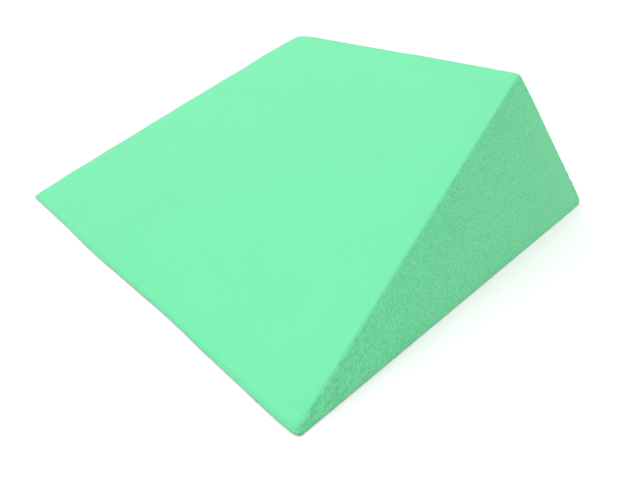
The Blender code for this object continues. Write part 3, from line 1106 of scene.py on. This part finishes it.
@dataclass
class FoamBlock:
    """A cut foam block: its side outline, rounded a little at the corners, carried across the mat."""

    node: str
    name: str
    form: MatForm
    finish: Finish
    slot: str
    clearance: float = 0.0024
    corner: float = 0.004
    corner_steps: int = 6
    rim: float = 0.0016
    rim_steps: int = 4
    step: float = 0.018
    slices: int = 24

    def outline(self) -> tuple[Array, Array]:
        """The closed outline in y and z, each corner a curve (1-a)²P + 2a(1-a)V + a²Q, and its ways out."""
        points = read(NODES[self.node].data.vertices, "co")[:, 1:]
        hull = points[convex_hull_2d([Vector(p) for p in points])]
        hull = hull[np.linalg.norm(hull - np.roll(hull, 1, axis=0), axis=1) > 1e-4]
        ends = []
        for leg in (np.roll(hull, 1, axis=0) - hull, np.roll(hull, -1, axis=0) - hull):
            reach = np.minimum(self.corner, 0.4 * np.linalg.norm(leg, axis=1))
            ends.append((hull + unit(leg) * reach[:, None])[:, None])
        a = np.linspace(0, 1, self.corner_steps)[None, :, None]
        line = ((1 - a) ** 2 * ends[0] + 2 * a * (1 - a) * hull[:, None] + a**2 * ends[1]).reshape(-1, 2)
        line = np.vstack([line, line[:1]])
        passed = np.concatenate([[0], np.cumsum(np.linalg.norm(np.diff(line, axis=0), axis=1))])
        even = np.arange(0, passed[-1], self.step)
        clear = np.abs(even[:, None] - passed).min(axis=1) > 0.002
        places = np.sort(np.concatenate([passed[:-1], even[clear]]))
        line = np.stack([np.interp(places, passed, line[:, k]) for k in range(2)], axis=1)
        ahead = np.roll(line, -1, axis=0) - np.roll(line, 1, axis=0)
        out = unit(np.stack([ahead[:, 1], -ahead[:, 0]], axis=1))
        return line, out * np.sign(((line - line.mean(axis=0)) * out).sum())

    def build(self) -> Piece:
        """Carries the outline from the left side to the right, with rounded rims and ends drawn to a point.

        Each slice is the outline moved in by its inset and drawn together to its share. It stands at its
        place across the block, where -1 and 1 are the side walls, less its pull.
        """
        line, out = self.outline()
        arc = np.linspace(0, math.pi / 2, self.rim_steps)
        ends = np.array([[self.rim, 0.0, share] for share in (0.001, 0.34, 0.67)])
        inset, pull = self.rim * (1 - np.sin(arc)), self.rim * (1 - np.cos(arc))
        rim = np.stack([inset, pull, np.ones(len(arc))], axis=1)
        cap = np.vstack([ends, rim])
        inset, pull, share = np.vstack([cap, np.tile([0.0, 0.0, 1.0], (self.slices, 1)), cap[::-1]]).T
        place = np.linspace(-1, 1, self.slices + 2)[1:-1]
        place = np.concatenate([np.full(len(cap), -1.0), place, np.ones(len(cap))])
        shrunk = line[None] - out[None] * inset[:, None, None]
        centre = shrunk.mean(axis=1, keepdims=True)
        flat = centre + (shrunk - centre) * share[:, None, None]
        side = Wall.of(self.node, Side.RIGHT.value[1])
        half = (side.reach - flat[..., 1] * side.normal[2]) / side.normal[0]
        across = place[:, None] * (half - pull[:, None])
        points = self.form.within(np.concatenate([across[..., None], flat], axis=-1), self.clearance)
        faces = grid_faces(len(points), len(line), round_columns=True)
        if inside_out(points, np.broadcast_to(np.insert(out, 0, 0.0, axis=1), points.shape)):
            faces = faces[:, ::-1]
        piece = new_piece(self.name, points, faces, 75.0)
        self.finish.dress(piece)
        return report(piece, self.slot, [self.node])


# ---- the zip


class Half(Enum):
    """The zip's two halves and which side of its middle line each is on."""

    UPPER = 1
    LOWER = -1


@dataclass
class ZipChain:
    """The coil zip on the back wall: tapes, coils and stitching. Its metal parts are the frame's own."""

    form: MatForm
    cover: Cover
    tape: Finish
    nylon: Finish
    thread: Finish
    metal: Finish
    pitch: float = 0.0016
    wire: float = 0.00034
    wire_clearance: float = 0.00004
    middle_gap: float = 0.00062
    cord: float = 0.00010
    tape_clearance: float = 0.00012
    stitch_lift: float = 0.00016
    stitch_dip: float = 0.00046
    stitch: float = 0.0034
    stitch_gap: float = 0.0009
    thread_radius: float = 0.00027
    row_inset: float = 0.006

    def __post_init__(self) -> None:
        """Finds the zip's middle line and the back wall's own directions."""
        self.back = self.form.walls[Side.BACK]
        self.up = self.cover.up
        lower, upper = span("zip_coil_lower", self.up), span("zip_coil_upper", self.up)
        self.middle = (lower[1] + upper[0]) / 2
        self.coil_edge = upper[1] - self.middle

    def at(self, x: Array, up: Array, depth: Array) -> Array:
        """Points by their place along X, height above the middle line and depth out of the back wall."""
        x, up, depth = np.broadcast_arrays(x, up, depth)
        raised = (up + self.middle)[..., None] * self.up
        return raised + (depth + self.back.reach)[..., None] * self.back.normal + x[..., None] * ALONG

    def depths(self, node: str) -> tuple[float, float]:
        """The lowest and highest depth of a CAD node out of the back wall."""
        low, high = span(node, self.back.normal)
        return low - self.back.reach, high - self.back.reach

    def build_tape(self, half: Half) -> None:
        """A woven tape with a rounded cord along its inner edge and a faint waviness along it."""
        node = f"zip_tape_{half.name.lower()}"
        ends, (low, high) = span(node, ALONG), self.depths(node)
        outer_edge = max(abs(edge - self.middle) for edge in span(node, self.up))
        inner_edge = self.middle_gap
        x = np.linspace(*ends, 420)
        up = inner_edge + stations(outer_edge - inner_edge, 0.0003, 0.0012) * (outer_edge - inner_edge)
        wave = 0.00004 * np.sin(x * 190.0) + 0.00003 * np.sin(x * 83.0 + 1.0)
        cord = self.cord * hump(up - inner_edge - 0.0006, 0.0005)
        top = high - self.tape_clearance + wave[:, None] + cord[None]
        outer = self.at(x[:, None], half.value * up[None], top)
        inner = self.at(x[:, None], half.value * up[None], np.full_like(top, low + 0.00005))
        piece = shell(f"zip_tape_cloth_{half.name.lower()}", outer, inner)
        self.tape.dress(piece)
        report(piece, "zip_tape", [node])

    def build_coil(self, half: Half) -> None:
        """A coil of nylon wire: x grows evenly while height and depth go round a rounded loop."""
        node = f"zip_coil_{half.name.lower()}"
        ends, (low, high) = span(node, ALONG), self.depths(node)
        turns = int((ends[1] - ends[0]) / self.pitch) - 1
        turn = np.linspace(0, math.tau * turns, turns * 11 + 1)
        start = ends[0] + self.pitch * (0.55 if half is Half.UPPER else 1.05)
        x = start + self.pitch * turn / math.tau + 0.00012 * np.sin(2 * turn)
        x = np.clip(x, ends[0] + self.wire, ends[1] - self.wire)
        reach = (self.coil_edge - self.middle_gap) / 2 - self.wire
        up = (self.coil_edge + self.middle_gap) / 2 + reach * squared_off(np.cos(turn), 0.75)
        tall = (high - low) / 2 - self.wire - self.wire_clearance
        depth = (high + low) / 2 + tall * squared_off(np.sin(turn), 0.8)
        path = self.at(x, half.value * up, depth)
        ahead = unit(np.gradient(path, axis=0))
        u = unit(np.cross(ahead, ALONG))
        girth = np.full(len(path), self.wire)
        girth[[0, -1]] = self.wire * 0.02
        points = rings(path, girth, u, np.cross(ahead, u), 5)
        faces = grid_faces(len(path), 5, round_columns=True)
        piece = new_piece(f"zip_coil_wire_{half.name.lower()}", points, faces, 80.0)
        face_out(piece)
        self.nylon.dress(piece)
        report(piece, "zip_coil", [node])

    def build_stitches(self, panel: Panel) -> None:
        """The row of topstitches along a panel's hem, each a short bar that dips into the cloth at its ends.

        Each ring of a bar is girth · (cos a · across + sin a · out) about a point that lies on the panel.
        """
        rows, sides, on_tab = np.linspace(-1, 1, 8), 6, "tab" in panel.name
        length = float(panel.legs()[-1]) if on_tab else panel.across() - 2 * self.row_inset
        count = int(length / (self.stitch + self.stitch_gap))
        bar = squared_off(rows, 1.1) * self.stitch / 2
        along = ((np.arange(count) + 0.5)[:, None] * length / count + bar).ravel()
        if on_tab:
            middle, out = panel.lie_of(np.array([panel.hem.stitch_at / panel.across()]), along / length)
        else:
            share = panel.hem.stitch_at / float(panel.legs()[-1])
            row = share if "upper" in panel.name else 1 - share
            middle, out = panel.lie_of((along + self.row_inset) / panel.across(), np.array([row]))
        middle, out = middle.reshape(count, -1, 3), unit(out.reshape(count, -1, 3))
        across = unit(np.cross(middle[:, -1:] - middle[:, :1], out))
        rise = self.stitch_lift - self.stitch_dip * np.abs(rows) ** 3
        middle = middle + rise[None, :, None] * out
        girth = self.thread_radius * np.sqrt(np.clip(1.02 - rows**6, 0, 1))
        points = rings(middle, girth, across, out, sides)
        first = (np.arange(count) * len(rows) * sides)[:, None, None]
        faces = (grid_faces(len(rows), sides, round_columns=True)[None] + first).reshape(-1, 4)
        piece = new_piece(panel.name.replace("cover", "topstitch"), points, faces, 80.0)
        face_out(piece, close=True)
        self.thread.dress(piece)
        report(piece, "zip_tape")

    def build(self) -> None:
        """Makes the tapes, coils and stitches, and finishes the metal parts."""
        for half in Half:
            self.build_tape(half)
            self.build_coil(half)
        for panel in self.cover.panels.values():
            if panel.hem:
                self.build_stitches(panel)
        stops = ("zip_top_stop_upper", "zip_top_stop_lower", "zip_bottom_stop")
        for node in (*stops, "zip_slider", "zip_pull"):
            self.metal.dress(NODES[node])
            LOG.info("%s: CAD shape kept, plated", node)


# ---- the studio


@dataclass
class Studio:
    """Pale floor, soft light and a camera, none of which is part of the mat."""

    depth: float
    front: Array
    lens: float = 27.6
    camera_at: tuple[float, float, float] = (0.8663, -0.2783, 0.6014)
    looking: tuple[float, float, float] = (-0.6076, 0.5905, -0.5311)
    roll: float = -0.61
    room_light: float = 0.37
    key_light: float = 2.44
    key_from: tuple[float, float, float] = (-0.37, 0.06, 0.88)
    key_spread: float = 60.0
    floor_radius: float = 40.0
    sweep_from: float = 6.0

    def build_floor(self) -> None:
        """A round floor of rings (r cos a, r sin a) that sweeps up far from the mat as a backdrop does."""
        radius = np.geomspace(0.0001, self.floor_radius, 90)
        turn = np.linspace(0, math.tau, 96, endpoint=False)
        rise = 0.0135 * np.maximum(radius - self.sweep_from, 0.0) ** 2 - 0.0004
        flat = radius[:, None, None] * np.stack([np.cos(turn), np.sin(turn)], axis=-1)
        points = np.concatenate([flat, np.broadcast_to(rise[:, None, None], (*flat.shape[:2], 1))], axis=-1)
        floor = new_piece("studio_floor", points, grid_faces(len(radius), len(turn), round_columns=True))
        StudioFloor("studio_floor_paint", (0.955, 0.955, 0.955)).dress(floor)

    def build_light(self) -> None:
        """An even room light, and a broad key light from above and a little to the left."""
        world = bpy.data.worlds.new("studio")
        world.use_nodes = True
        sky = world.node_tree.nodes["Background"].inputs
        sky["Color"].default_value = (1.0, 1.0, 1.0, 1.0)
        sky["Strength"].default_value = self.room_light
        bpy.context.scene.world = world
        key = bpy.data.lights.new("key", "SUN")
        key.energy = self.key_light
        key.angle = math.radians(self.key_spread)
        lamp = bpy.data.objects.new("key", key)
        lamp.rotation_mode = "QUATERNION"
        lamp.rotation_quaternion = Vector(self.key_from).to_track_quat("Z", "Y")
        bpy.context.scene.collection.objects.link(lamp)

    def build_camera(self) -> None:
        """A camera above the right-hand front, placed in shares of the mat's depth from its front edge."""
        data = bpy.data.cameras.new("camera")
        data.lens = self.lens
        camera = bpy.data.objects.new("camera", data)
        ahead = Vector(self.looking).normalized()
        right = ahead.cross(Vector((0, 0, 1))).normalized()
        right = Matrix.Rotation(math.radians(-self.roll), 3, ahead) @ right
        turn = Matrix((right, right.cross(ahead), -ahead)).transposed()
        place = self.front + self.depth * np.array(self.camera_at)
        camera.matrix_world = Matrix.Translation(Vector(place)) @ turn.to_4x4()
        bpy.context.scene.collection.objects.link(camera)
        bpy.context.scene.camera = camera
        bpy.context.scene.view_settings.view_transform = "Standard"

    def build(self) -> None:
        """Sets up the floor, the light and the camera."""
        self.build_floor()
        self.build_light()
        self.build_camera()


# ---- the whole mat


def main() -> None:
    """Builds the mat around the frame, in order, and the studio around the mat."""
    logging.basicConfig(level=logging.INFO, format="%(name)s %(message)s", stream=sys.stdout)
    form = MatForm()
    soft = OpenCellFoam("soft_white_foam", (0.84, 0.85, 0.82), 0.0013)
    firm = OpenCellFoam("firm_cream_foam", (0.80, 0.76, 0.62), 0.0019)
    blocks = [
        FoamBlock("firm_foam_base", "firm_foam_block_base", form, firm, "firm_foam"),
        FoamBlock("firm_foam_middle", "firm_foam_block_middle", form, firm, "firm_foam"),
        FoamBlock("firm_foam_upper", "firm_foam_block_upper", form, firm, "firm_foam"),
        FoamBlock("soft_foam_topper", "soft_foam_layer", form, soft, "soft_foam"),
    ]
    for block in blocks:
        block.build()
    slope, back = form.walls[Side.SLOPE].normal, form.walls[Side.BACK].normal
    tilt = math.atan2(-float(slope[1]), float(slope[2]))
    lean = math.atan2(float(back[2]), float(back[1]))
    low, high = (np.array(corner) for corner in CAD_BOX)
    drawn = {"gloss": 0.08, "drag": 1.7, "drag_tilt": tilt, "drag_from": float(low[1])}
    # The incline and the walls are one cloth: the incline's colour is set lighter and the walls' darker, so
    # part of their light and shade is painted in.
    lit_smooth_mint = GrainedCloth("mint_cloth_stretched", (0.1565, 0.768, 0.384), 0.0008, 0.20)
    mint = GrainedCloth("mint_cloth_grained_shaded", (0.134, 0.712, 0.326), 0.0026, 1.4, **drawn)
    dyed = (0.150, 0.640, 0.345)
    cover = Cover(form, lit_smooth_mint, mint, GripCloth("mint_grip_cloth", dyed))
    cover.build([block.name for block in blocks])
    zip_chain = ZipChain(
        form,
        cover,
        TapeWeave("zip_tape_weave", dyed, lean),
        Filament("zip_coil_nylon", dyed, 0.34),
        Filament("mint_thread", (0.17, 0.70, 0.38), 0.62, 0.0009),
        PlatedMetal("nickel_plate", (0.71, 0.70, 0.67)),
    )
    zip_chain.build()
    Studio(float(high[1] - low[1]), np.array([0.0, low[1], low[2]])).build()


if __name__ == "__main__":
    main()
